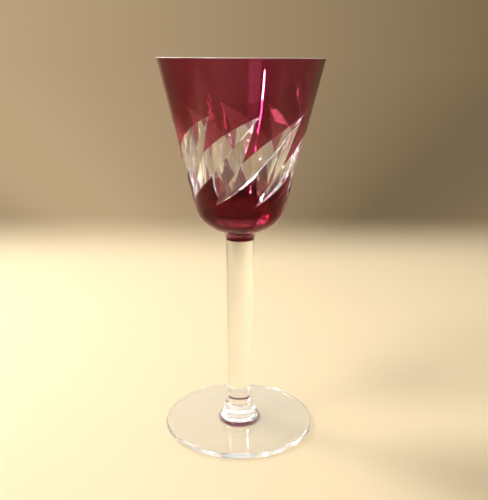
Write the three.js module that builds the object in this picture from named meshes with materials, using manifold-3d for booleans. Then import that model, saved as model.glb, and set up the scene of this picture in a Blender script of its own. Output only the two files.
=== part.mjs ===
// Hock wine glass: a tall clear stem on a round foot, under a tapered bowl of clear crystal
// that is cased in ruby glass and cut back to clear by a belt of slanted leaf-shaped cuts.
// Millimetres, +Z up, origin on the table under the middle of the foot.
// Angles round the glass start at the front, which faces -Y, and grow towards +X.
import * as THREE from 'three';
import { mergeVertices } from 'three/addons/utils/BufferGeometryUtils.js';
import Module from 'manifold-3d';

// Foot
const FOOT_RADIUS = 37.9;
const FOOT_EDGE_THICKNESS = 3.0;
const FOOT_EDGE_ROUND = 1.2;
const FOOT_CROWN_HEIGHT = 4.4;
const FOOT_STANDING_RING_WIDTH = 7.0;
const FOOT_HOLLOW_DEPTH = 0.8;
const BOSS_RADIUS = 8.05;
const BOSS_ROOT_RADIUS = 8.2;
const BOSS_ROOT_FILLET = 3.2;
const BOSS_SHOULDER_DROP = 2.6;
const BOSS_HEIGHT = 12.2;

// Stem
const STEM_LENGTH = 87.1;
const STEM_TOP_RADIUS = 7.0;
const STEM_WAIST_RADIUS = 5.75;
const STEM_BASE_RADIUS = 6.1;
const STEM_BASE_FLARE = 4.5;

// Bowl, measured over the ruby casing
const BOWL_HEIGHT = 85.7;
const RIM_RADIUS = 39.0;
const CUP_RADIUS = 22.0;
const CUP_CENTRE_HEIGHT = 17.7;
const CUP_DEPTH = 15.0;
const NECK_BLEND_ANGLE = 58;
const RIM_WALL = 1.7;
const CUP_WALL = 4.4;
const BOWL_FLOOR_THICKNESS = 10.7;
const BOWL_FLOOR_RISE = 8.0;
const RIM_ROUND = 0.35;

// Ruby casing, a skin over the clear bowl
const CASING_THICKNESS = 0.4;
const CASING_CLEARANCE = 0.15;

// Cuts: each motif is a long and a short leaf that share one tip at the top. They are cut by hand,
// so the tips aren't evenly spaced. The belly moves a leaf's widest place down from its middle.
const TIP_ANGLES = [15, 60, 107, 154.5, 199, 243, 290, 336.5];
const TIP_BELOW_RIM = 24.0;
const LONG_LEAF = { sweep: 89, drop: 41.5, outerWidth: 4.6, innerWidth: 5.0, depth: 1.2, belly: 1 };
const SHORT_LEAF = { sweep: 40, drop: 37.0, outerWidth: 4.5, innerWidth: 7.0, depth: 1.9, belly: 1.5 };
const LEAF_WALL_WIDTH = 1.2;
const BELT_BELOW_TIP = 25.0;
const CUTTER_REACH = 3.0;
const CUTTER_END_SIZE = 0.02;

// Facets
const ROUND_STEPS = 56;
const CURVE_STEPS = 5;
const LEAF_STEPS = 10;

// Colours
const CLEAR_GLASS = { color: 0xe9ece6, roughness: 0.04, metalness: 0, transparent: true, opacity: 0.35 };
const RUBY_GLASS = { color: 0x7a1226, roughness: 0.04, metalness: 0, transparent: true, opacity: 0.75 };

// Heights worked out from the sizes above
const STEM_BASE_Z = BOSS_HEIGHT;
const NECK_Z = STEM_BASE_Z + STEM_LENGTH;
const RIM_Z = NECK_Z + BOWL_HEIGHT;
const CUP_CENTRE_Z = NECK_Z + CUP_CENTRE_HEIGHT;
const TIP_Z = RIM_Z - TIP_BELOW_RIM;
const BELT_Z = TIP_Z - BELT_BELOW_TIP;

const wasm = await Module();
wasm.setup();

const point = (radius, height) => new THREE.Vector2(radius, height);

// Drop a curve's last point, so that the next stretch of the outline starts there
const stretch = (curve, steps = CURVE_STEPS) => curve.getPoints(steps).slice(0, -1);

// A rounded corner from one point to another, without its last point
const rounded = (from, corner, to, steps) => stretch(new THREE.QuadraticBezierCurve(from, corner, to), steps);

// Keep only the positions, share the vertices and leave out triangles with no area
function weld(geometry) {
  geometry.deleteAttribute('normal');
  geometry.deleteAttribute('uv');
  const merged = mergeVertices(geometry, 1e-4);
  const index = merged.getIndex().array;
  const kept = [];
  for (let i = 0; i < index.length; i += 3) {
    const [a, b, c] = [index[i], index[i + 1], index[i + 2]];
    if (a !== b && b !== c && c !== a) kept.push(a, b, c);
  }
  merged.setIndex(kept);
  return merged;
}

// A solid of revolution about +Z from an outline that runs out, up and back in
function turned(outline) {
  return weld(new THREE.LatheGeometry(outline, ROUND_STEPS).rotateX(Math.PI / 2));
}

function toSolid(geometry) {
  return new wasm.Manifold(new wasm.Mesh({
    numProp: 3,
    vertProperties: new Float32Array(geometry.getAttribute('position').array),
    triVerts: new Uint32Array(geometry.getIndex().array),
  }));
}

function toGeometry(solid) {
  const mesh = solid.getMesh();
  const geometry = new THREE.BufferGeometry();
  geometry.setAttribute('position', new THREE.BufferAttribute(mesh.vertProperties, 3));
  geometry.setIndex(new THREE.BufferAttribute(mesh.triVerts, 1));
  return geometry;
}

function part(name, geometry, look) {
  geometry.computeVertexNormals();
  const mesh = new THREE.Mesh(geometry, new THREE.MeshStandardMaterial(look));
  mesh.name = name;
  return mesh;
}

// Outside of the bowl: a straight taper from the rim that runs into an elliptical cup,
// then a concave blend into the neck. The taper is the tangent to the ellipse from the rim.
const rimOnUnitCircle = point(RIM_RADIUS / CUP_RADIUS, (RIM_Z - CUP_CENTRE_Z) / CUP_DEPTH);
const tangentAngle = rimOnUnitCircle.angle() - Math.acos(1 / rimOnUnitCircle.length());
const cupTop = point(
  CUP_RADIUS * Math.cos(tangentAngle),
  CUP_CENTRE_Z + CUP_DEPTH * Math.sin(tangentAngle),
);
const taperSlope = (RIM_RADIUS - cupTop.x) / (RIM_Z - cupTop.y);
const taperAngle = Math.atan(taperSlope);
const taperRadius = (z) => cupTop.x + (z - cupTop.y) * taperSlope;

// Outline of the bowl from the neck up to a height on the taper, moved in from the outside by an inset
function bowlOutline(inset, topZ) {
  const blendAngle = THREE.MathUtils.degToRad(NECK_BLEND_ANGLE);
  const width = CUP_RADIUS - inset;
  const depth = CUP_DEPTH - inset;
  const neck = point(STEM_TOP_RADIUS - inset, NECK_Z);
  const blendStart = point(width * Math.cos(blendAngle), CUP_CENTRE_Z - depth * Math.sin(blendAngle));
  const blendSlope = (depth * Math.cos(blendAngle)) / (width * Math.sin(blendAngle));
  const corner = point(neck.x, blendStart.y - (blendStart.x - neck.x) * blendSlope);
  const cup = new THREE.EllipseCurve(0, CUP_CENTRE_Z, width, depth, -blendAngle, tangentAngle, false);
  const taperInset = inset / Math.cos(taperAngle);
  return [
    ...rounded(neck, corner, blendStart, CURVE_STEPS),
    ...stretch(cup),
    point(cupTop.x - inset * Math.cos(taperAngle), cupTop.y + inset * Math.sin(taperAngle)),
    point(taperRadius(topZ) - taperInset, topZ),
  ];
}

// Clear crystal bowl with a thick floor, before it is cut
function bowlBlank() {
  const inset = CASING_THICKNESS + CASING_CLEARANCE;
  const outside = bowlOutline(inset, RIM_Z);
  const rimOuter = outside.pop();
  const rimInner = point(RIM_RADIUS - RIM_WALL, RIM_Z);
  const floorZ = NECK_Z + BOWL_FLOOR_THICKNESS;
  const wallFoot = point(CUP_RADIUS - CUP_WALL, floorZ + BOWL_FLOOR_RISE);
  const inside = new THREE.EllipseCurve(0, wallFoot.y, wallFoot.x, BOWL_FLOOR_RISE, 0, -Math.PI / 2, true);
  const lipInner = point(rimInner.x, RIM_Z - RIM_ROUND);
  const lipTop = point(rimInner.x + RIM_ROUND, RIM_Z);
  return turned([
    point(0, NECK_Z),
    ...outside,
    rimOuter,
    ...rounded(lipTop, rimInner, lipInner, 3),
    lipInner,
    ...stretch(inside),
    point(0, floorZ),
  ]);
}

// Ruby skin over the bowl between two heights, as a ring that closes on itself
function casingRing(outside, inside) {
  return turned([...outside, ...inside.slice().reverse(), outside[0].clone()]);
}

function rubyBandBlank() {
  const inset = CASING_THICKNESS / Math.cos(taperAngle);
  const lip = point(RIM_RADIUS - RIM_ROUND * taperSlope, RIM_Z - RIM_ROUND);
  const crest = point(RIM_RADIUS - RIM_ROUND, RIM_Z);
  const outside = [
    point(taperRadius(BELT_Z), BELT_Z),
    ...rounded(lip, point(RIM_RADIUS, RIM_Z), crest, 3),
    crest,
  ];
  const inside = [
    point(taperRadius(BELT_Z) - inset, BELT_Z),
    point(RIM_RADIUS - inset, RIM_Z),
  ];
  return casingRing(outside, inside);
}

function rubyCupBlank() {
  return casingRing(bowlOutline(0, BELT_Z), bowlOutline(CASING_THICKNESS, BELT_Z));
}

// A point on the taper at an angle round the glass, pushed out along the surface normal
function onTaper(angle, z, outward) {
  const radius = taperRadius(z) + outward * Math.cos(taperAngle);
  const height = z - outward * Math.sin(taperAngle);
  return new THREE.Vector3(radius * Math.sin(angle), -radius * Math.cos(angle), height);
}

// Cutter for one leaf. It follows a slanted line down from the tip. Its section goes straight through
// the casing, then a shallow face falls from the outer edge to the deepest line, close to the inner
// edge. The outer edge lies on the side given by +1, to the right of the line, or -1, to its left.
function leafCutter(tipAngle, leaf, outerSide) {
  const sweep = -THREE.MathUtils.degToRad(leaf.sweep);
  const skin = CASING_THICKNESS + CASING_CLEARANCE + CUTTER_END_SIZE;
  const sections = [];
  for (let step = 0; step <= LEAF_STEPS; step += 1) {
    const along = step / LEAF_STEPS;
    const fullness = along ** leaf.belly;
    const swell = Math.max(4 * fullness * (1 - fullness), CUTTER_END_SIZE);
    const angle = tipAngle + along * sweep;
    const z = TIP_Z - along * leaf.drop;
    const radius = taperRadius(z);
    const run = point(sweep * radius, -leaf.drop / Math.cos(taperAngle)).normalize();
    const across = (distance, outward) => onTaper(
      angle - (outerSide * distance * run.y) / radius,
      z + outerSide * distance * run.x * Math.cos(taperAngle),
      outward,
    );
    const outer = leaf.outerWidth * swell;
    const inner = -leaf.innerWidth * swell;
    const deepest = inner + LEAF_WALL_WIDTH * swell;
    sections.push([
      across(outer, -skin),
      across(outer, CUTTER_REACH),
      across(inner, CUTTER_REACH),
      across(inner, -skin),
      across(deepest, -skin - leaf.depth * swell),
    ]);
  }
  return loft(sections, outerSide < 0);
}

// Closed solid through a row of sections with the same number of points
function loft(sections, flipped) {
  const count = sections[0].length;
  const last = (sections.length - 1) * count;
  const triangles = [];
  for (let row = 0; row + 1 < sections.length; row += 1) {
    for (let k = 0; k < count; k += 1) {
      const a = row * count + k;
      const b = row * count + ((k + 1) % count);
      triangles.push([a, b, b + count], [a, b + count, a + count]);
    }
  }
  for (let k = 1; k + 1 < count; k += 1) {
    triangles.push([0, k + 1, k], [last, last + k, last + k + 1]);
  }
  const index = triangles.flatMap(([a, b, c]) => (flipped ? [a, c, b] : [a, b, c]));
  const geometry = new THREE.BufferGeometry().setFromPoints(sections.flat());
  geometry.setIndex(index);
  return geometry;
}

// All the leaves of the belt as one cutting solid
function allCuts() {
  const cutters = [];
  for (const degrees of TIP_ANGLES) {
    const tipAngle = THREE.MathUtils.degToRad(degrees);
    cutters.push(toSolid(leafCutter(tipAngle, LONG_LEAF, -1)));
    cutters.push(toSolid(leafCutter(tipAngle, SHORT_LEAF, 1)));
  }
  return cutters.reduce((joined, cutter) => joined.add(cutter));
}

// Clear stem: a slow taper with a small flare where it sits on the foot
function stemGeometry() {
  const base = point(STEM_BASE_RADIUS, STEM_BASE_Z);
  const waist = point(STEM_WAIST_RADIUS, STEM_BASE_Z + STEM_BASE_FLARE);
  const flareCorner = point(STEM_WAIST_RADIUS, STEM_BASE_Z + STEM_BASE_FLARE / 3);
  return turned([
    point(0, STEM_BASE_Z),
    ...rounded(base, flareCorner, waist, CURVE_STEPS),
    waist,
    point(STEM_TOP_RADIUS, NECK_Z),
    point(0, NECK_Z),
  ]);
}

// Clear foot: hollowed underside with a flat standing ring, rounded edge, low crown,
// and a boss with a sloping shoulder that carries the stem
function footGeometry() {
  const ringOuter = point(FOOT_RADIUS - FOOT_EDGE_ROUND, 0);
  const ringInner = point(ringOuter.x - FOOT_STANDING_RING_WIDTH, 0);
  const hollowCorner = point(ringInner.x / 2, FOOT_HOLLOW_DEPTH);
  const edgeLow = point(FOOT_RADIUS, FOOT_EDGE_ROUND);
  const edgeHigh = point(FOOT_RADIUS, FOOT_EDGE_THICKNESS - FOOT_EDGE_ROUND);
  const crownRim = point(FOOT_RADIUS - FOOT_EDGE_ROUND, FOOT_EDGE_THICKNESS);
  const crownTop = point(BOSS_ROOT_RADIUS + BOSS_ROOT_FILLET, FOOT_CROWN_HEIGHT);
  const bossRoot = point(BOSS_ROOT_RADIUS, FOOT_CROWN_HEIGHT + BOSS_ROOT_FILLET);
  const shoulder = point(BOSS_RADIUS, BOSS_HEIGHT - BOSS_SHOULDER_DROP);
  const seat = point(STEM_BASE_RADIUS, BOSS_HEIGHT);
  const shoulderCorner = point(BOSS_RADIUS, BOSS_HEIGHT - BOSS_SHOULDER_DROP / 3);
  return turned([
    ...rounded(point(0, FOOT_HOLLOW_DEPTH), hollowCorner, ringInner, CURVE_STEPS),
    ringInner,
    ...rounded(ringOuter, point(FOOT_RADIUS, 0), edgeLow, 4),
    edgeLow,
    ...rounded(edgeHigh, point(FOOT_RADIUS, FOOT_EDGE_THICKNESS), crownRim, 4),
    crownRim,
    ...rounded(crownTop, point(BOSS_ROOT_RADIUS, FOOT_CROWN_HEIGHT), bossRoot, 4),
    bossRoot,
    ...rounded(shoulder, shoulderCorner, seat, 4),
    seat,
    point(0, BOSS_HEIGHT),
  ]);
}

const cuts = allCuts();
const cutFrom = (blank) => toGeometry(toSolid(blank).subtract(cuts));

const glass = new THREE.Group();
glass.name = 'hock_wine_glass';
glass.add(part('foot', footGeometry(), CLEAR_GLASS));
glass.add(part('stem', stemGeometry(), CLEAR_GLASS));
glass.add(part('bowl', cutFrom(bowlBlank()), CLEAR_GLASS));
glass.add(part('ruby_cup', cutFrom(rubyCupBlank()), RUBY_GLASS));
glass.add(part('ruby_band', cutFrom(rubyBandBlank()), RUBY_GLASS));

export default glass;
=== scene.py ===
"""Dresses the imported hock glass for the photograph's view, with fine turned and cut glass.

Every length is in metres, in the CAD frame: +Z up, the front of the glass faces -Y,
and angles round the glass start at the front and grow towards +X.
"""
import math

import bmesh
import bpy
from bpy.props import FloatProperty, FloatVectorProperty, PointerProperty
from mathutils import Matrix, Vector


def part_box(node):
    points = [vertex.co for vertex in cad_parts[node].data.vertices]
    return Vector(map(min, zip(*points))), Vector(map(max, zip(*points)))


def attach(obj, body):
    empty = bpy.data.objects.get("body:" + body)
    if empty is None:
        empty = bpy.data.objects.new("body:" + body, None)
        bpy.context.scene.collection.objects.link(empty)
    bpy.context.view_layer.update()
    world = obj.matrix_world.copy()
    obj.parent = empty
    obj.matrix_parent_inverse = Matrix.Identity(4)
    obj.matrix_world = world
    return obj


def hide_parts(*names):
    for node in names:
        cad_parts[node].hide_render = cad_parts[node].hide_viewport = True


bl_info = {
    "name": "Ruby cut-to-clear hock glass",
    "version": (1, 0, 0),
    "blender": (4, 5, 0),
    "location": "View3D > Sidebar > Hock glass",
    "description": "Builds a ruby-cased, leaf-cut hock glass around its CAD frame",
    "category": "Object",
}

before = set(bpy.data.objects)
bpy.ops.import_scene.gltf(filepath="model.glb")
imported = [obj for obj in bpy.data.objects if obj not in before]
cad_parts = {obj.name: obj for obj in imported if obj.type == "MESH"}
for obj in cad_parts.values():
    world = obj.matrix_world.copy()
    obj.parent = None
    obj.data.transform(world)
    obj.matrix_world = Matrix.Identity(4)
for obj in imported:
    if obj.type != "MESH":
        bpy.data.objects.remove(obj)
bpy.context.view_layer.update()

FOOT_LOW, FOOT_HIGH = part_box("foot")
STEM_LOW, STEM_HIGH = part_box("stem")
BAND_LOW, BAND_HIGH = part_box("ruby_band")

BODY = "root"
ROUND_STEPS = 288
CURVE_STEPS = 20
LEAF_STEPS = 56
SHARP_ANGLE = math.radians(5)
CUTTER_REACH = 0.003
CUTTER_END = 0.02
SURFACE, JOIN, RIM = 0, 1, 2
DAYLIGHT = (0.82, 0.94, 1.0)
EDGE_SHARE = 0.25
CRYSTAL_INDEX = 1.54
# Size of the painted ruby pool: lamp light that passes the foot this near the axis takes the painted ruby
# colour.
CORE_RADIUS = 0.0098
CORE_FADE = 0.0016
CORE_FLATNESS = 2.5


def length(name, default, description):
    """A length that a user may change, in metres."""
    return FloatProperty(
        name=name,
        default=default,
        min=0.0,
        description=description,
        subtype="DISTANCE",
        unit="LENGTH",
        precision=5,
    )


def angle(name, default, description):
    """An angle that a user may change, given in degrees and kept in radians."""
    return FloatProperty(
        name=name, default=math.radians(default), description=description, subtype="ANGLE", unit="ROTATION"
    )


def level(name, default, description):
    """A plain number from 0 up that a user may change."""
    return FloatProperty(name=name, default=default, min=0.0, description=description)


def power(name, default, description):
    """A lamp's power that a user may change, in watts."""
    return FloatProperty(name=name, default=default, min=0.0, unit="POWER", description=description)


def colour(name, default, description):
    """A linear colour that a user may change."""
    return FloatVectorProperty(
        name=name, default=default, min=0.0, max=1.0, size=3, subtype="COLOR", description=description
    )


class HockFootSizes(bpy.types.PropertyGroup):
    """Sizes of the foot and the stem."""

    edge_thickness: length("Edge thickness", 0.0030, "Thickness of the foot at its rim")
    edge_round: length("Edge round", 0.0012, "Radius of the foot's polished edge")
    crown_height: length("Crown height", 0.0044, "Height of the foot's top where the boss starts")
    ring_width: length("Standing ring width", 0.0070, "Width of the flat ring that the glass stands on")
    hollow_depth: length("Hollow depth", 0.0008, "Rise of the underside inside the standing ring")
    boss_radius: length("Boss radius", 0.00805, "Radius of the boss under its shoulder")
    boss_root_radius: length("Boss root radius", 0.0082, "Radius of the boss where it leaves the foot")
    boss_root_fillet: length("Boss root fillet", 0.0032, "Sweep of the foot's top into the boss")
    boss_shoulder_drop: length("Boss shoulder drop", 0.0026, "Fall of the shoulder from the stem's seat")
    stem_top_radius: length("Stem top radius", 0.0070, "Radius of the stem under the bowl")
    stem_waist_radius: length("Stem waist radius", 0.00575, "Radius of the stem above its flare")
    stem_base_radius: length("Stem base radius", 0.0061, "Radius of the stem on the boss")
    stem_flare: length("Stem flare", 0.0045, "Height of the flare at the stem's base")


class HockBowlSizes(bpy.types.PropertyGroup):
    """Sizes of the bowl, of its casing and of the leaf cuts."""

    rim_radius: length("Rim radius", 0.0390, "Half width of the rim")
    cup_radius: length("Cup radius", 0.0220, "Half width of the rounded cup")
    cup_centre_height: length("Cup centre height", 0.0177, "Height of the cup's widest level over the neck")
    cup_depth: length("Cup depth", 0.0150, "Depth of the rounded cup under its widest level")
    neck_blend_angle: angle("Neck blend angle", 58, "Where the cup turns into the neck")
    rim_wall: length("Rim wall", 0.0017, "Wall thickness at the rim, with the casing")
    cup_wall: length("Cup wall", 0.0044, "Wall thickness at the cup, with the casing")
    floor_thickness: length("Floor thickness", 0.0107, "Solid glass between the neck and the bowl's floor")
    floor_rise: length("Floor rise", 0.0080, "Height over which the bowl's floor rounds into its wall")
    rim_round: length("Rim round", 0.00035, "Radius of the fire-polished rim")
    casing_thickness: length("Casing thickness", 0.0004, "Thickness of the ruby layer")
    casing_gap: length("Casing gap", 0.00005, "Hairline between the ruby layer and the clear bowl")
    tip_angles: FloatVectorProperty(
        name="Tip angles",
        default=[math.radians(turn) for turn in (15, 60, 107, 154.5, 199, 243, 290, 336.5)],
        size=8,
        unit="ROTATION",
        description="Directions of the tips of the hand-cut pairs of leaves, from the front",
    )
    tip_below_rim: length("Tip below rim", 0.0240, "Distance from the rim down to the leaves' tips")
    long_sweep: angle("Long leaf sweep", 89, "How far round the bowl the long leaf runs")
    long_drop: length("Long leaf drop", 0.0415, "How far down the long leaf runs")
    long_outer: length("Long leaf upper width", 0.0046, "Width of the long leaf above its line")
    long_inner: length("Long leaf lower width", 0.0050, "Width of the long leaf below its line")
    short_sweep: angle("Short leaf sweep", 40, "How far round the bowl the short leaf runs")
    short_drop: length("Short leaf drop", 0.0370, "How far down the short leaf runs")
    short_outer: length("Short leaf right width", 0.0045, "Width of the short leaf to the right of its line")
    short_inner: length("Short leaf left width", 0.0070, "Width of the short leaf to the left of its line")
    long_depth: length("Long leaf depth", 0.0018, "Depth of the long leaf in the clear glass")
    short_depth: length("Short leaf depth", 0.0012, "Depth of the short leaf in the clear glass")
    cut_wall: length("Cut wall", 0.0006, "Width of each leaf's steep side")
    short_belly: level("Short leaf belly", 1.5, "Over 1 moves its widest place down from the middle")
    belt_below_tip: length("Belt below tip", 0.0250, "Level at which the cuts part the ruby layer in two")


class HockFinish(bpy.types.PropertyGroup):
    """Colours of the glass and of the stage."""

    clear: colour("Clear crystal", (0.97, 0.97, 0.955), "Tint of the clear glass")
    ruby: colour("Ruby", (0.53, 0.067, 0.145), "What the ruby casing lets through")
    deep_ruby: colour("Deep ruby", (0.26, 0.026, 0.05), "What the thicker casing of the cup lets through")
    cup_index: level("Cup index", 1.18, "Refractive index of the cup's casing, low so that it mirrors little")
    # Painted ruby light: the foot passes lamp light in this colour next to its axis, which paints a dark ruby
    # spot on the floor under the boss.
    painted_foot_light: colour("Foot light", (0.16, 0.010, 0.050), "Light that comes down the stem to the floor")
    lamp_share: level("Lamp share", 1.0, "Share of the lamps' light that goes straight through glass")
    floor: colour("Floor", (0.92, 0.76, 0.51), "Pale floor under the glass")
    # The backdrop's tones are painted light: lighter on the left and dimmer on the right, as if lit from the
    # left.
    backdrop_left: colour("Backdrop left", (0.52, 0.37, 0.215), "Backdrop on the lit side")
    backdrop_right: colour("Backdrop right", (0.185, 0.134, 0.070), "Backdrop on the far side")
    backdrop_sides: colour("Backdrop sides", (0.27, 0.20, 0.115), "Dark flags beside the glass")
    ceiling: colour("Ceiling", (1.0, 1.0, 1.0), "White ceiling that the rim reflects")
    key_power: power("Key light", 3.2, "Soft light, which the floor lamps take a share of")
    strip_power: power("Strip light", 18.0, "Narrow gleam in the bowl")
    front_power: power("Front light", 0.8, "Broad gleam in the bowl")
    spark_power: power("Spark light", 4.0, "Small sparkle low in the cup")
    fill_level: level("Fill level", 0.34, "Even light from all sides")


# Outlines of the turned pieces


class Outline:
    """Half section of a turned piece, as points from the axis or a start, out, up and back in."""

    def __init__(self):
        self.points = []
        self.finishes = []

    def to(self, radius, height, finish=SURFACE):
        """Add a point; the finish is that of the surface which leads to it."""
        self.points.append((radius, height))
        self.finishes.append(finish)
        return self

    def along(self, points, finish=SURFACE):
        """Add a row of points."""
        for radius, height in points:
            self.to(radius, height, finish)
        return self

    def round(self, corner, end, finish=SURFACE, steps=CURVE_STEPS):
        """Add a rounded corner from the last point to the end."""
        start = self.points[-1]
        for step in range(1, steps + 1):
            t = step / steps
            weights = ((1 - t) ** 2, 2 * t * (1 - t), t**2)
            radius, height = (sum(w * p[k] for w, p in zip(weights, (start, corner, end))) for k in (0, 1))
            self.to(radius, height, finish)
        return self


def divided(start, end, parts):
    """Points along a straight stretch, without its start."""
    return [
        tuple(start[k] + (end[k] - start[k]) * step / parts for k in (0, 1)) for step in range(1, parts + 1)
    ]


def turned_mesh(name, outline, closed_ring=False):
    """Turn an outline about +Z. A closed ring runs back to its start, or else both ends are on the axis."""
    mesh = bpy.data.meshes.new(name)
    form = bmesh.new()
    rings = []
    for radius, height in outline.points:
        if radius < 1e-7:
            rings.append([form.verts.new((0.0, 0.0, height))])
            continue
        turn = [2 * math.pi * step / ROUND_STEPS for step in range(ROUND_STEPS)]
        rings.append([form.verts.new((radius * math.sin(a), -radius * math.cos(a), height)) for a in turn])
    pairs = list(zip(rings, rings[1:], outline.finishes[1:]))
    if closed_ring:
        pairs.append((rings[-1], rings[0], outline.finishes[0]))
    for low, high, finish in pairs:
        for step in range(ROUND_STEPS):
            after = (step + 1) % ROUND_STEPS
            corners = [low[k % len(low)] for k in (step, after)]
            corners += [high[k % len(high)] for k in (after, step)]
            face = form.faces.new(dict.fromkeys(corners))
            face.material_index = finish
    form.to_mesh(mesh)
    form.free()
    return mesh


def polish(mesh):
    """Smooth the surfaces and keep the cut edges sharp."""
    form = bmesh.new()
    form.from_mesh(mesh)
    bmesh.ops.dissolve_degenerate(form, dist=1e-8, edges=form.edges)
    for face in form.faces:
        face.smooth = True
    for edge in form.edges:
        edge.smooth = edge.is_manifold and edge.calc_face_angle(0.0) < SHARP_ANGLE
    form.to_mesh(mesh)
    form.free()
    return mesh


def add_piece(name, mesh, node, slot, *materials):
    """Put a finished mesh in the scene as the piece that stands for a CAD node."""
    piece = bpy.data.objects.new(name, mesh)
    while len(mesh.materials) < len(materials):
        mesh.materials.append(None)
    for slot_index, material in enumerate(materials):
        mesh.materials[slot_index] = material
    bpy.context.scene.collection.objects.link(piece)
    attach(piece, BODY)
    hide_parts(node)
    return piece


# The bowl's outside: a straight taper that touches an elliptical cup


class BowlForm:
    """The bowl's levels and its outside, from the sizes in the scene."""

    def __init__(self, sizes, stem_top_radius):
        self.sizes = sizes
        self.neck_radius = stem_top_radius
        self.neck_z = STEM_HIGH.z
        self.rim_z = BAND_HIGH.z
        self.rim_radius = sizes.rim_radius
        self.centre_z = self.neck_z + sizes.cup_centre_height
        rim = Vector((self.rim_radius / sizes.cup_radius, (self.rim_z - self.centre_z) / sizes.cup_depth))
        self.touch = math.atan2(rim.y, rim.x) - math.acos(1 / rim.length)
        self.touch_radius = sizes.cup_radius * math.cos(self.touch)
        self.touch_z = self.centre_z + sizes.cup_depth * math.sin(self.touch)
        self.slope = (self.rim_radius - self.touch_radius) / (self.rim_z - self.touch_z)
        self.taper = math.atan(self.slope)
        self.tip_z = self.rim_z - sizes.tip_below_rim
        self.belt_z = self.tip_z - sizes.belt_below_tip

    def radius(self, z):
        """Outer radius of the taper at a height."""
        return self.touch_radius + (z - self.touch_z) * self.slope

    def outside(self, inset, top_z):
        """Points up the outside from the neck to a height on the taper, moved in by an inset."""
        sizes = self.sizes
        blend = sizes.neck_blend_angle
        width = sizes.cup_radius - inset
        depth = sizes.cup_depth - inset
        neck = (self.neck_radius - inset, self.neck_z)
        start = (width * math.cos(blend), self.centre_z - depth * math.sin(blend))
        fall = (depth * math.cos(blend)) / (width * math.sin(blend))
        corner = (neck[0], start[1] - (start[0] - neck[0]) * fall)
        line = Outline().to(*neck).round(corner, start)
        for step in range(1, CURVE_STEPS):
            turn = -blend + (self.touch + blend) * step / CURVE_STEPS
            line.to(width * math.cos(turn), self.centre_z + depth * math.sin(turn))
        touch_radius = self.touch_radius - inset * math.cos(self.taper)
        touch = (touch_radius, self.touch_z + inset * math.sin(self.taper))
        top = (self.radius(top_z) - inset / math.cos(self.taper), top_z)
        return line.points + [touch] + divided(touch, top, CURVE_STEPS)

    def on_taper(self, turn, z, outward):
        """A point on the taper, pushed out along the surface normal."""
        radius = self.radius(z) + outward * math.cos(self.taper)
        height = z - outward * math.sin(self.taper)
        return Vector((radius * math.sin(turn), -radius * math.cos(turn), height))


def leaf_cutter(form, tip, sweep, drop, outer, inner, depth, belly, side):
    """Closed cutter for one leaf: straight through the casing, then one shallow face and one steep wall."""
    sizes = form.sizes
    skin = sizes.casing_thickness + sizes.casing_gap + sizes.casing_gap
    solid = bmesh.new()
    sections = []
    for step in range(LEAF_STEPS + 1):
        along = step / LEAF_STEPS
        fullness = along**belly
        swell = max(4 * fullness * (1 - fullness), CUTTER_END)
        turn = tip - along * sweep
        z = form.tip_z - along * drop
        radius = form.radius(z)
        run = Vector((-sweep * radius, -drop / math.cos(form.taper))).normalized()

        def across(distance, outward):
            return form.on_taper(
                turn - side * distance * run.y / radius,
                z + side * distance * run.x * math.cos(form.taper),
                outward,
            )

        deepest = sizes.cut_wall - inner
        corners = [
            across(outer * swell, -skin),
            across(outer * swell, CUTTER_REACH),
            across(-inner * swell, CUTTER_REACH),
            across(-inner * swell, -skin),
            across(deepest * swell, -skin - depth * swell),
        ]
        sections.append([solid.verts.new(corner) for corner in corners])
    for low, high in zip(sections, sections[1:]):
        for k in range(len(low)):
            after = (k + 1) % len(low)
            solid.faces.new((low[k], low[after], high[after], high[k]))
    solid.faces.new(reversed(sections[0]))
    solid.faces.new(sections[-1])
    bmesh.ops.recalc_face_normals(solid, faces=solid.faces)
    mesh = bpy.data.meshes.new("leaf_cutter")
    solid.to_mesh(mesh)
    solid.free()
    return mesh


def make_cutters(form):
    """All the leaf cutters, in a collection of their own that isn't in the scene."""
    sizes = form.sizes
    cutters = bpy.data.collections.new("leaf_cutters")
    leaves = (
        (sizes.long_sweep, sizes.long_drop, sizes.long_outer, sizes.long_inner, sizes.long_depth, 1.0, -1),
        (
            sizes.short_sweep,
            sizes.short_drop,
            sizes.short_outer,
            sizes.short_inner,
            sizes.short_depth,
            sizes.short_belly,
            1,
        ),
    )
    for tip in sizes.tip_angles:
        for leaf in leaves:
            cutters.objects.link(bpy.data.objects.new("leaf_cutter", leaf_cutter(form, tip, *leaf)))
    return cutters


def cut_leaves(blank, cutters):
    """Cut the leaves out of a blank and return the finished mesh."""
    work = bpy.data.objects.new("cutting", blank)
    for _ in (SURFACE, JOIN, RIM):
        work.data.materials.append(None)
    bpy.context.scene.collection.objects.link(work)
    cut = work.modifiers.new("leaves", "BOOLEAN")
    cut.operation = "DIFFERENCE"
    cut.operand_type = "COLLECTION"
    cut.collection = cutters
    cut.solver = "MANIFOLD"
    cut.material_mode = "INDEX"
    seen = bpy.context.evaluated_depsgraph_get()
    mesh = bpy.data.meshes.new_from_object(work.evaluated_get(seen))
    bpy.data.objects.remove(work)
    return mesh


# Materials


def new_material(name):
    """An empty node material with its nodes, its links and its output."""
    material = bpy.data.materials.new(name)
    material.use_nodes = True
    tree = material.node_tree
    tree.nodes.clear()
    return material, tree, tree.nodes.new("ShaderNodeOutputMaterial")


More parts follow.
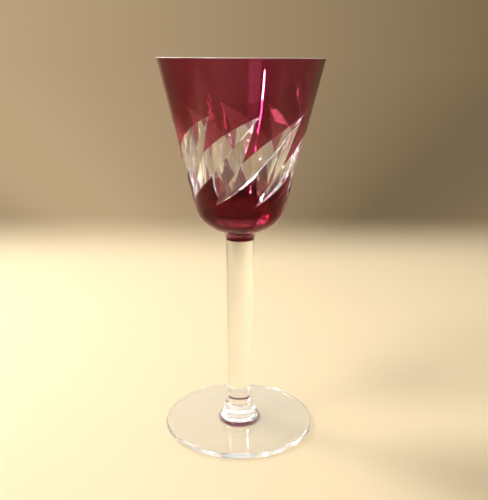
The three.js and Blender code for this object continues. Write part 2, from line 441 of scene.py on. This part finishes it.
def polished_surface_group():
    """Faint waves and handling marks of hand-worked glass, as a roughness and a height."""
    found = bpy.data.node_groups.get("polished_surface")
    if found:
        return found
    group = bpy.data.node_groups.new("polished_surface", "ShaderNodeTree")
    face = group.interface
    wave_scale = face.new_socket("Wave Scale", in_out="INPUT", socket_type="NodeSocketFloat")
    wave_scale.default_value = 60.0
    marks = face.new_socket("Marks", in_out="INPUT", socket_type="NodeSocketFloat")
    marks.default_value = 0.02
    face.new_socket("Roughness", in_out="OUTPUT", socket_type="NodeSocketFloat")
    face.new_socket("Height", in_out="OUTPUT", socket_type="NodeSocketFloat")
    nodes, links = group.nodes, group.links
    start = nodes.new("NodeGroupInput")
    end = nodes.new("NodeGroupOutput")
    place = nodes.new("ShaderNodeTexCoord")
    waves = nodes.new("ShaderNodeTexNoise")
    waves.inputs["Detail"].default_value = 1.0
    links.new(place.outputs["Object"], waves.inputs["Vector"])
    links.new(start.outputs["Wave Scale"], waves.inputs["Scale"])
    links.new(waves.outputs["Fac"], end.inputs["Height"])
    smear = nodes.new("ShaderNodeTexNoise")
    smear.inputs["Scale"].default_value = 90.0
    smear.inputs["Detail"].default_value = 3.0
    links.new(place.outputs["Object"], smear.inputs["Vector"])
    touch = nodes.new("ShaderNodeMapRange")
    touch.inputs["From Min"].default_value = 0.55
    touch.inputs["From Max"].default_value = 0.80
    links.new(smear.outputs["Fac"], touch.inputs["Value"])
    links.new(start.outputs["Marks"], touch.inputs["To Max"])
    links.new(touch.outputs["Result"], end.inputs["Roughness"])
    return group


def outside_core(nodes, links):
    """A socket that is 0 on the underside next to the axis and 1 away from it or higher up: the mask of the
    painted ruby pool under the boss.
    """
    place = nodes.new("ShaderNodeTexCoord")
    flat = nodes.new("ShaderNodeVectorMath")
    flat.operation = "MULTIPLY"
    flat.inputs[1].default_value = (1.0, 1.0, CORE_FLATNESS)
    links.new(place.outputs["Object"], flat.inputs[0])
    away = nodes.new("ShaderNodeVectorMath")
    away.operation = "LENGTH"
    links.new(flat.outputs["Vector"], away.inputs[0])
    edge = CORE_RADIUS + CORE_FADE
    return map_range(nodes, links, away.outputs["Value"], CORE_RADIUS, edge)


def glass_material(name, tint, through, wave_scale, wave_height, ior, painted_ruby_pool=None):
    """Polished glass that bends what is behind it. Lamps shine straight through, less so at its edges.

    A painted ruby pool is painted light: lamp light that passes the underside next to the axis takes its
    colour, so the floor under the boss looks lit in ruby, as if the light had come down the stem.
    """
    material, tree, out = new_material(name)
    nodes, links = tree.nodes, tree.links
    glass = nodes.new("ShaderNodeBsdfPrincipled")
    glass.inputs["Base Color"].default_value = (*tint, 1.0)
    glass.inputs["Transmission Weight"].default_value = 1.0
    glass.inputs["IOR"].default_value = ior
    surface = nodes.new("ShaderNodeGroup")
    surface.node_tree = polished_surface_group()
    surface.inputs["Wave Scale"].default_value = wave_scale
    surface.inputs["Marks"].default_value = 0.03
    links.new(surface.outputs["Roughness"], glass.inputs["Roughness"])
    waves = nodes.new("ShaderNodeBump")
    waves.inputs["Strength"].default_value = 1.0
    waves.inputs["Distance"].default_value = wave_height
    links.new(surface.outputs["Height"], waves.inputs["Height"])
    links.new(waves.outputs["Normal"], glass.inputs["Normal"])
    edge = nodes.new("ShaderNodeLayerWeight")
    edge.inputs["Blend"].default_value = 0.2
    passed = mixed(nodes, links, edge.outputs["Facing"], through, [part * EDGE_SHARE for part in through])
    if painted_ruby_pool:
        passed = mixed(nodes, links, outside_core(nodes, links), painted_ruby_pool, passed)
    open_to_lamps = nodes.new("ShaderNodeBsdfTransparent")
    links.new(passed, open_to_lamps.inputs["Color"])
    path = nodes.new("ShaderNodeLightPath")
    lighting = nodes.new("ShaderNodeMath")
    lighting.operation = "MAXIMUM"
    links.new(path.outputs["Is Shadow Ray"], lighting.inputs[0])
    links.new(path.outputs["Is Diffuse Ray"], lighting.inputs[1])
    choose = nodes.new("ShaderNodeMixShader")
    links.new(lighting.outputs["Value"], choose.inputs["Fac"])
    links.new(glass.outputs["BSDF"], choose.inputs[1])
    links.new(open_to_lamps.outputs["BSDF"], choose.inputs[2])
    links.new(choose.outputs["Shader"], out.inputs["Surface"])
    return material


def clear_crystal(name, wave_scale, wave_height, painted_ruby_pool=None):
    """Clear lead crystal, with a painted ruby pool of light under the middle when one is given."""
    finish = bpy.context.scene.hock_finish
    through = (finish.lamp_share,) * 3
    return glass_material(name, tuple(finish.clear), through, wave_scale, wave_height, CRYSTAL_INDEX, painted_ruby_pool)


def ruby_glass(name, ruby, ior):
    """The ruby casing. Its shadow is pale, as the layer is thin."""
    through = (0.65, 0.58, 0.56)
    return glass_material(name, tuple(ruby), through, 55.0, 0.000006, ior)


def fused_join():
    """A face that is fused to its neighbour, so it doesn't show."""
    found = bpy.data.materials.get("fused_join")
    if found:
        return found
    material, tree, out = new_material("fused_join")
    face = tree.nodes.new("ShaderNodeBsdfPrincipled")
    face.inputs["Alpha"].default_value = 0.0
    tree.links.new(face.outputs["BSDF"], out.inputs["Surface"])
    return material


def ground_rim():
    """The rim's narrow top, ground flat and fire-polished, which scatters the light from above."""
    found = bpy.data.materials.get("ground_rim")
    if found:
        return found
    material, tree, out = new_material("ground_rim")
    face = tree.nodes.new("ShaderNodeBsdfPrincipled")
    face.inputs["Base Color"].default_value = (0.92, 0.88, 0.86, 1.0)
    face.inputs["Roughness"].default_value = 0.25
    face.inputs["IOR"].default_value = CRYSTAL_INDEX
    face.inputs["Transmission Weight"].default_value = 0.35
    tree.links.new(face.outputs["BSDF"], out.inputs["Surface"])
    return material


# Pieces


class HOCK_OT_foot(bpy.types.Operator):
    """Turn the clear foot with its standing ring, rounded edge and boss"""

    bl_idname = "hock.foot"
    bl_label = "Foot"

    def execute(self, context):
        sizes = context.scene.hock_foot
        radius = FOOT_HIGH.x
        seat_z = FOOT_HIGH.z
        ring_outer = radius - sizes.edge_round
        ring_inner = ring_outer - sizes.ring_width
        edge_top = sizes.edge_thickness
        crown = sizes.crown_height
        root = sizes.boss_root_radius
        line = Outline().to(0.0, sizes.hollow_depth)
        line.round((ring_inner / 2, sizes.hollow_depth), (ring_inner, 0.0))
        line.to(ring_outer, 0.0)
        line.round((radius, 0.0), (radius, sizes.edge_round))
        line.to(radius, edge_top - sizes.edge_round)
        line.round((radius, edge_top), (ring_outer, edge_top))
        line.along(divided(line.points[-1], (root + sizes.boss_root_fillet, crown), CURVE_STEPS))
        line.round((root, crown), (root, crown + sizes.boss_root_fillet))
        shoulder_z = seat_z - sizes.boss_shoulder_drop
        line.to(sizes.boss_radius, shoulder_z)
        shoulder_corner = (sizes.boss_radius, seat_z - sizes.boss_shoulder_drop / 3)
        line.round(shoulder_corner, (sizes.stem_base_radius, seat_z))
        line.to(0.0, seat_z, JOIN)
        # Painted ruby light under the boss, given to the lamp light that passes the foot near its axis.
        painted_ruby_light = tuple(context.scene.hock_finish.painted_foot_light)
        crystal = clear_crystal("clear_crystal_foot", 40.0, 0.00003, painted_ruby_light)
        mesh = polish(turned_mesh("foot", line))
        add_piece("foot_glass", mesh, "foot", "clear_crystal", crystal, fused_join())
        return {"FINISHED"}


class HOCK_OT_stem(bpy.types.Operator):
    """Turn the clear stem with its taper and flare"""

    bl_idname = "hock.stem"
    bl_label = "Stem"

    def execute(self, context):
        sizes = context.scene.hock_foot
        base_z, top_z = STEM_LOW.z, STEM_HIGH.z
        waist = (sizes.stem_waist_radius, base_z + sizes.stem_flare)
        line = Outline().to(0.0, base_z).to(sizes.stem_base_radius, base_z, JOIN)
        line.round((sizes.stem_waist_radius, base_z + sizes.stem_flare / 3), waist)
        line.along(divided(waist, (sizes.stem_top_radius, top_z), CURVE_STEPS))
        line.to(0.0, top_z, JOIN)
        crystal = clear_crystal("clear_crystal_stem", 35.0, 0.00003)
        mesh = polish(turned_mesh("stem", line))
        add_piece("stem_glass", mesh, "stem", "clear_crystal", crystal, fused_join())
        return {"FINISHED"}


class HOCK_OT_bowl(bpy.types.Operator):
    """Turn the clear bowl and cut the leaves into it"""

    bl_idname = "hock.bowl"
    bl_label = "Clear bowl"

    def execute(self, context):
        sizes = context.scene.hock_bowl
        form = BowlForm(sizes, context.scene.hock_foot.stem_top_radius)
        inset = sizes.casing_thickness + sizes.casing_gap
        outside = form.outside(inset, form.rim_z)
        line = Outline().to(0.0, form.neck_z).to(*outside[0], JOIN).along(outside[1:])
        lip = form.rim_radius - sizes.rim_wall
        line.to(lip + sizes.rim_round, form.rim_z, RIM)
        line.round((lip, form.rim_z), (lip, form.rim_z - sizes.rim_round), RIM, steps=6)
        floor_z = form.neck_z + sizes.floor_thickness
        wall_foot = (sizes.cup_radius - sizes.cup_wall, floor_z + sizes.floor_rise)
        line.along(divided(line.points[-1], wall_foot, CURVE_STEPS))
        for step in range(1, CURVE_STEPS):
            turn = math.pi / 2 * step / CURVE_STEPS
            line.to(wall_foot[0] * math.cos(turn), wall_foot[1] - sizes.floor_rise * math.sin(turn))
        line.to(0.0, floor_z)
        cutters = make_cutters(form)
        mesh = polish(cut_leaves(turned_mesh("bowl", line), cutters))
        crystal = clear_crystal("clear_crystal_bowl", 55.0, 0.000005)
        add_piece("bowl_glass", mesh, "bowl", "clear_crystal", crystal, fused_join(), ground_rim())
        return {"FINISHED"}


class HOCK_OT_casing(bpy.types.Operator):
    """Turn the ruby casing in two rings and cut the leaves through them"""

    bl_idname = "hock.casing"
    bl_label = "Ruby casing"

    def execute(self, context):
        sizes = context.scene.hock_bowl
        form = BowlForm(sizes, context.scene.hock_foot.stem_top_radius)
        cutters = make_cutters(form)
        thick = sizes.casing_thickness
        inset = thick / math.cos(form.taper)
        rim, top = form.rim_radius, form.rim_z
        belt_radius = form.radius(form.belt_z)
        band = Outline().to(belt_radius, form.belt_z)
        lip = (rim - sizes.rim_round * form.slope, top - sizes.rim_round)
        band.along(divided(band.points[-1], lip, CURVE_STEPS))
        band.round((rim, top), (rim - sizes.rim_round, top), RIM, steps=6)
        band.to(rim - inset, top, RIM)
        band.along(divided(band.points[-1], (belt_radius - inset, form.belt_z), CURVE_STEPS))
        outside = form.outside(0.0, form.belt_z)
        cup = Outline().to(*outside[0], JOIN).along(outside[1:])
        cup.along(reversed(form.outside(thick, form.belt_z)))
        finish = context.scene.hock_finish
        rings = (
            ("ruby_band", band, finish.ruby, CRYSTAL_INDEX),
            ("ruby_cup", cup, finish.deep_ruby, finish.cup_index),
        )
        for node, line, ruby, ior in rings:
            name = node + "_glass"
            mesh = polish(cut_leaves(turned_mesh(name, line, closed_ring=True), cutters))
            add_piece(name, mesh, node, "ruby_glass", ruby_glass(name, ruby, ior), fused_join(), ground_rim())
        return {"FINISHED"}


# Stage


def seen_ray(nodes, links):
    """A socket that is 1 for rays that show the stage: from the camera, off gloss or through glass."""
    path = nodes.new("ShaderNodeLightPath")
    total = path.outputs["Is Camera Ray"]
    for ray in ("Is Glossy Ray", "Is Transmission Ray"):
        either = nodes.new("ShaderNodeMath")
        either.operation = "MAXIMUM"
        links.new(total, either.inputs[0])
        links.new(path.outputs[ray], either.inputs[1])
        total = either.outputs["Value"]
    return total


def map_range(nodes, links, value, low, high, smooth=False):
    """A socket that runs from 0 to 1 while a value runs from low to high."""
    node = nodes.new("ShaderNodeMapRange")
    node.interpolation_type = "SMOOTHSTEP" if smooth else "LINEAR"
    node.inputs["From Min"].default_value = low
    node.inputs["From Max"].default_value = high
    links.new(value, node.inputs["Value"])
    return node.outputs["Result"]


def mixed(nodes, links, factor, low, high):
    """A socket that blends two colours by a factor."""
    node = nodes.new("ShaderNodeMix")
    node.data_type = "RGBA"
    links.new(factor, node.inputs["Factor"])
    for name, tone in (("A", low), ("B", high)):
        if isinstance(tone, bpy.types.NodeSocket):
            links.new(tone, node.inputs[name])
        else:
            node.inputs[name].default_value = (*tone, 1.0)
    return node.outputs["Result"]


def backdrop_group():
    """The backdrop's colour in a direction, with painted light falloff: light on the left, dimmer on the
    right, dark on both sides.
    """
    found = bpy.data.node_groups.get("backdrop_tone")
    if found:
        return found
    group = bpy.data.node_groups.new("backdrop_tone", "ShaderNodeTree")
    face = group.interface
    face.new_socket("Direction", in_out="INPUT", socket_type="NodeSocketVector")
    for name in ("Left", "Right", "Sides"):
        face.new_socket(name, in_out="INPUT", socket_type="NodeSocketColor")
    face.new_socket("Tone", in_out="OUTPUT", socket_type="NodeSocketColor")
    nodes, links = group.nodes, group.links
    start = nodes.new("NodeGroupInput")
    end = nodes.new("NodeGroupOutput")
    flat = nodes.new("ShaderNodeVectorMath")
    flat.operation = "NORMALIZE"
    links.new(start.outputs["Direction"], flat.inputs[0])
    parts = nodes.new("ShaderNodeSeparateXYZ")
    links.new(flat.outputs["Vector"], parts.inputs["Vector"])
    side = map_range(nodes, links, parts.outputs["X"], -0.36, 0.36)
    tone = mixed(nodes, links, side, start.outputs["Left"], start.outputs["Right"])
    aside = nodes.new("ShaderNodeMath")
    aside.operation = "ABSOLUTE"
    links.new(parts.outputs["X"], aside.inputs[0])
    far = map_range(nodes, links, aside.outputs["Value"], 0.45, 0.80, smooth=True)
    links.new(mixed(nodes, links, far, tone, start.outputs["Sides"]), end.inputs["Tone"])
    return group


def backdrop_tone(nodes, links, direction, finish):
    """A socket with the backdrop's colour in a direction."""
    backdrop = nodes.new("ShaderNodeGroup")
    backdrop.node_tree = backdrop_group()
    links.new(direction, backdrop.inputs["Direction"])
    tones = {"Left": finish.backdrop_left, "Right": finish.backdrop_right, "Sides": finish.backdrop_sides}
    for name, tone in tones.items():
        backdrop.inputs[name].default_value = (*tone, 1.0)
    return backdrop.outputs["Tone"]


def floor_material(finish):
    """A pale floor round the glass that turns into the backdrop's tone further off."""
    material, tree, out = new_material("pale_floor")
    nodes, links = tree.nodes, tree.links
    place = nodes.new("ShaderNodeTexCoord")
    scaled = nodes.new("ShaderNodeVectorMath")
    scaled.operation = "MULTIPLY"
    scaled.inputs[1].default_value = (0.85, 1.0, 1.0)
    links.new(place.outputs["Object"], scaled.inputs[0])
    sizes = nodes.new("ShaderNodeVectorMath")
    sizes.operation = "ABSOLUTE"
    links.new(scaled.outputs["Vector"], sizes.inputs[0])
    parts = nodes.new("ShaderNodeSeparateXYZ")
    links.new(sizes.outputs["Vector"], parts.inputs["Vector"])
    outward = nodes.new("ShaderNodeMath")
    outward.operation = "SMOOTH_MAX"
    outward.inputs[2].default_value = 0.06
    links.new(parts.outputs["X"], outward.inputs[0])
    links.new(parts.outputs["Y"], outward.inputs[1])
    reach = map_range(nodes, links, outward.outputs["Value"], 0.17, 0.40, smooth=True)
    lit = nodes.new("ShaderNodeBsdfDiffuse")
    lit.inputs["Color"].default_value = (*finish.floor, 1.0)
    shown = nodes.new("ShaderNodeEmission")
    links.new(backdrop_tone(nodes, links, place.outputs["Object"], finish), shown.inputs["Color"])
    share = nodes.new("ShaderNodeMath")
    share.operation = "MULTIPLY"
    links.new(reach, share.inputs[0])
    links.new(seen_ray(nodes, links), share.inputs[1])
    blend = nodes.new("ShaderNodeMixShader")
    links.new(share.outputs["Value"], blend.inputs["Fac"])
    links.new(lit.outputs["BSDF"], blend.inputs[1])
    links.new(shown.outputs["Emission"], blend.inputs[2])
    links.new(blend.outputs["Shader"], out.inputs["Surface"])
    return material


def stage_world(finish):
    """Even light from all sides, shown as the backdrop's tone low down and as a white ceiling above."""
    world = bpy.data.worlds.new("studio")
    world.use_nodes = True
    tree = world.node_tree
    tree.nodes.clear()
    nodes, links = tree.nodes, tree.links
    out = nodes.new("ShaderNodeOutputWorld")
    light = nodes.new("ShaderNodeBackground")
    light.inputs["Color"].default_value = (1.0, 0.96, 0.90, 1.0)
    light.inputs["Strength"].default_value = finish.fill_level
    place = nodes.new("ShaderNodeTexCoord")
    parts = nodes.new("ShaderNodeSeparateXYZ")
    links.new(place.outputs["Generated"], parts.inputs["Vector"])
    height = map_range(nodes, links, parts.outputs["Z"], 0.10, 0.40, smooth=True)
    tone = backdrop_tone(nodes, links, place.outputs["Generated"], finish)
    shown = nodes.new("ShaderNodeBackground")
    links.new(mixed(nodes, links, height, tone, finish.ceiling), shown.inputs["Color"])
    blend = nodes.new("ShaderNodeMixShader")
    links.new(seen_ray(nodes, links), blend.inputs["Fac"])
    links.new(light.outputs["Background"], blend.inputs[1])
    links.new(shown.outputs["Background"], blend.inputs[2])
    links.new(blend.outputs["Shader"], out.inputs["Surface"])
    return world


def area_light(name, place, aim, strength, size, tone=(1.0, 0.97, 0.93), lights_floor=True):
    """A soft panel at a place, turned to an aim. It may be there for the gleams on the glass only."""
    data = bpy.data.lights.new(name, "AREA")
    data.energy = strength
    data.color = tone
    data.shape = "RECTANGLE"
    data.size, data.size_y = size
    lamp = bpy.data.objects.new(name, data)
    lamp.location = place
    lamp.visible_diffuse = lights_floor
    lamp.rotation_euler = (Vector(aim) - Vector(place)).to_track_quat("-Z", "Y").to_euler()
    bpy.context.scene.collection.objects.link(lamp)
    return lamp


class HOCK_OT_stage(bpy.types.Operator):
    """Set the floor, the soft light and the photograph's camera"""

    bl_idname = "hock.stage"
    bl_label = "Stage"

    def execute(self, context):
        scene = context.scene
        finish = scene.hock_finish
        mesh = bpy.data.meshes.new("floor")
        form = bmesh.new()
        bmesh.ops.create_circle(form, cap_ends=True, radius=12.0, segments=96)
        form.to_mesh(mesh)
        form.free()
        mesh.materials.append(floor_material(finish))
        floor = bpy.data.objects.new("floor", mesh)
        floor.location = (0.0, 0.11, -0.0001)
        scene.collection.objects.link(floor)
        scene.world = stage_world(finish)
        middle = (0.0, 0.0, 0.10)
        area_light("key_light", (-0.53, -0.27, 0.73), middle, finish.key_power * 1.05, (0.22, 0.22))
        area_light("side_light", (-0.42, 0.20, 0.56), middle, finish.key_power * 1.1, (0.16, 0.16))
        area_light("back_light", (0.55, 0.32, 0.64), middle, finish.key_power * 0.18, (0.30, 0.30))
        gleams = (
            ("strip_light", (-0.604, -0.731, 0.460), finish.strip_power, (0.026, 0.16)),
            ("front_light", (-0.36, -0.83, 0.58), finish.front_power, (0.34, 0.40)),
            ("spark_light", (-0.50, 0.42, 0.45), finish.spark_power, (0.06, 0.06)),
        )
        for name, place, strength, size in gleams:
            area_light(name, place, middle, strength, size, DAYLIGHT, lights_floor=False)
        camera = bpy.data.cameras.new("camera")
        camera.sensor_fit = "VERTICAL"
        camera.sensor_height = 36.0
        camera.lens = 50.33
        camera.clip_start = 0.01
        eye = bpy.data.objects.new("camera", camera)
        pitch = Matrix.Rotation(math.radians(90 - 15.39), 4, "X")
        roll = Matrix.Rotation(math.radians(0.4), 4, "Z")
        eye.matrix_world = Matrix.Translation((0.00195, -0.3325, 0.185)) @ pitch @ roll
        scene.collection.objects.link(eye)
        scene.camera = eye
        scene.view_settings.view_transform = "Standard"
        scene.cycles.transparent_max_bounces = 32
        scene.cycles.max_bounces = 24
        scene.cycles.transmission_bounces = 24
        scene.cycles.glossy_bounces = 24
        scene.cycles.sample_clamp_indirect = 0.0
        return {"FINISHED"}


class HOCK_PT_panel(bpy.types.Panel):
    """The steps that build the glass"""

    bl_idname = "HOCK_PT_panel"
    bl_label = "Hock glass"
    bl_space_type = "VIEW_3D"
    bl_region_type = "UI"
    bl_category = "Hock glass"

    def draw(self, context):
        for step in STEPS:
            self.layout.operator(step.bl_idname)


STEPS = (HOCK_OT_stage, HOCK_OT_foot, HOCK_OT_stem, HOCK_OT_bowl, HOCK_OT_casing)
GROUPS = {"hock_foot": HockFootSizes, "hock_bowl": HockBowlSizes, "hock_finish": HockFinish}


def register():
    """Register the classes and hang the sizes on the scene."""
    for kind in (*GROUPS.values(), *STEPS, HOCK_PT_panel):
        bpy.utils.register_class(kind)
    for name, kind in GROUPS.items():
        setattr(bpy.types.Scene, name, PointerProperty(type=kind))


def unregister():
    """Take the sizes and the classes away again."""
    for name in GROUPS:
        delattr(bpy.types.Scene, name)
    for kind in (HOCK_PT_panel, *reversed(STEPS), *GROUPS.values()):
        bpy.utils.unregister_class(kind)


def main():
    """Build the stage and every piece."""
    register()
    bpy.ops.hock.stage()
    bpy.ops.hock.foot()
    bpy.ops.hock.stem()
    bpy.ops.hock.bowl()
    bpy.ops.hock.casing()


if __name__ == "__main__":
    main()
